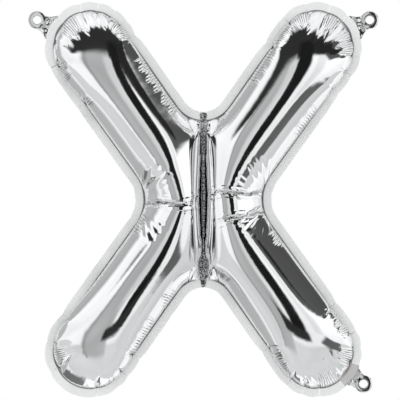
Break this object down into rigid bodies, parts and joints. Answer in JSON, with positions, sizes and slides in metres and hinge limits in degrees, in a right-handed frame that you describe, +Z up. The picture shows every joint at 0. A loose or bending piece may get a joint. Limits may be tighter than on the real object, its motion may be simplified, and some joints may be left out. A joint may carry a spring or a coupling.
{
  "type": "letter foil balloon",
  "caption": "Inflated metallised film balloon in the shape of the letter X, with a sealed edge and punched hanging tabs.",
  "frame": {"origin": "midway between the holes of the two upper hanging tabs, in the plane of the seal between the two films", "axes": "+Z up, towards the tops of the upper arms; the letter's front faces -Y; +X to the right as the letter is read"},
  "size_m": [0.3592, 0.0738, 0.4057],
  "materials": {
    "foil": "mirror-bright metallised film",
    "sealed_foil": "metallised film, flattened and slightly dulled by the heat seal"
  },
  "bodies": {
    "root": {"front_film": "foil", "back_film": "foil", "edge_seal": "sealed_foil", "valve_sleeve": "sealed_foil", "centre_seal_upper": "sealed_foil", "centre_seal_middle": "sealed_foil", "centre_seal_lower": "sealed_foil", "hanging_tab_upper_left": "sealed_foil", "hanging_tab_upper_right": "sealed_foil", "hanging_tab_lower_right": "sealed_foil"}
  },
  "joints": []
}
